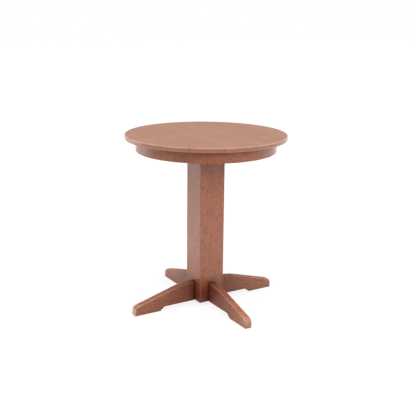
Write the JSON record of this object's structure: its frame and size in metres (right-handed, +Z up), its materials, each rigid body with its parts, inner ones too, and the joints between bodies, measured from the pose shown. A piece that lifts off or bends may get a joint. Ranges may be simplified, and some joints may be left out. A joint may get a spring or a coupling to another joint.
{
  "type": "counter height table",
  "caption": "Round counter height pedestal table: glued board top and round apron on a square hollow column, sloping bolted legs, screw levelling glides.",
  "frame": {"origin": "on the floor under the centre of the round top, level with the glide pads' lower faces", "axes": "+Z up, the four legs along X and Y, the boards of the top along Y"},
  "size_m": [0.852, 0.852, 0.9144],
  "materials": {
    "top_wood": "red-brown stained hardwood under satin lacquer",
    "base_wood": "red-brown stained hardwood under satin lacquer",
    "inner_wood": "bare planed hardwood",
    "steel": "bright zinc plated",
    "glide_nylon": "moulded nylon"
  },
  "bodies": {
    "table": {"top_board_far_left": "top_wood", "top_board_mid_left": "top_wood", "top_board_near_left": "top_wood", "top_board_near_right": "top_wood", "top_board_mid_right": "top_wood", "top_board_far_right": "top_wood", "apron_segment_front": "base_wood", "apron_segment_right": "base_wood", "apron_segment_back": "base_wood", "apron_segment_left": "base_wood", "column_board_front": "base_wood", "column_board_right": "base_wood", "column_board_back": "base_wood", "column_board_left": "base_wood", "leg_front": "base_wood", "leg_right": "base_wood", "leg_back": "base_wood", "leg_left": "base_wood", "apron_splines": "inner_wood", "glue_blocks": "inner_wood", "cleat_across_boards": "inner_wood", "cleat_along_boards": "inner_wood", "column_top_plug": "inner_wood", "leg_dowels": "inner_wood", "block_screws_up": "steel", "block_screws_out": "steel", "cleat_screws": "steel", "column_lag_bolts": "steel", "column_lag_washers": "steel", "leg_hanger_bolts": "steel", "leg_bolt_washers": "steel", "leg_bolt_nuts": "steel", "glide_inserts": "steel"},
    "glide_pad_front": {"glide_pad_front": "glide_nylon"},
    "glide_stem_front": {"glide_stem_front": "steel"},
    "glide_pad_right": {"glide_pad_right": "glide_nylon"},
    "glide_stem_right": {"glide_stem_right": "steel"},
    "glide_pad_back": {"glide_pad_back": "glide_nylon"},
    "glide_stem_back": {"glide_stem_back": "steel"},
    "glide_pad_left": {"glide_pad_left": "glide_nylon"},
    "glide_stem_left": {"glide_stem_left": "steel"}
  },
  "joints": [
    {"name": "glide_travel_front", "type": "slide", "parent": "table", "child": "glide_pad_front", "axis": [0, 0, -1], "range_m": [0, 0.01]},
    {"name": "glide_turn_front", "type": "hinge", "parent": "glide_pad_front", "child": "glide_stem_front", "pos_m": [0, -0.388, 0], "axis": [0, 0, -1], "range_deg": [0, 2880]},
    {"name": "glide_travel_right", "type": "slide", "parent": "table", "child": "glide_pad_right", "axis": [0, 0, -1], "range_m": [0, 0.01]},
    {"name": "glide_turn_right", "type": "hinge", "parent": "glide_pad_right", "child": "glide_stem_right", "pos_m": [0.388, 0, 0], "axis": [0, 0, -1], "range_deg": [0, 2880]},
    {"name": "glide_travel_back", "type": "slide", "parent": "table", "child": "glide_pad_back", "axis": [0, 0, -1], "range_m": [0, 0.01]},
    {"name": "glide_turn_back", "type": "hinge", "parent": "glide_pad_back", "child": "glide_stem_back", "pos_m": [0, 0.388, 0], "axis": [0, 0, -1], "range_deg": [0, 2880]},
    {"name": "glide_travel_left", "type": "slide", "parent": "table", "child": "glide_pad_left", "axis": [0, 0, -1], "range_m": [0, 0.01]},
    {"name": "glide_turn_left", "type": "hinge", "parent": "glide_pad_left", "child": "glide_stem_left", "pos_m": [-0.388, 0, 0], "axis": [0, 0, -1], "range_deg": [0, 2880]}
  ],
  "couplings": [
    {"joint": "glide_turn_front", "follows": "glide_travel_front", "rad_per_m": 5026.5},
    {"joint": "glide_turn_right", "follows": "glide_travel_right", "rad_per_m": 5026.5},
    {"joint": "glide_turn_back", "follows": "glide_travel_back", "rad_per_m": 5026.5},
    {"joint": "glide_turn_left", "follows": "glide_travel_left", "rad_per_m": 5026.5}
  ]
}
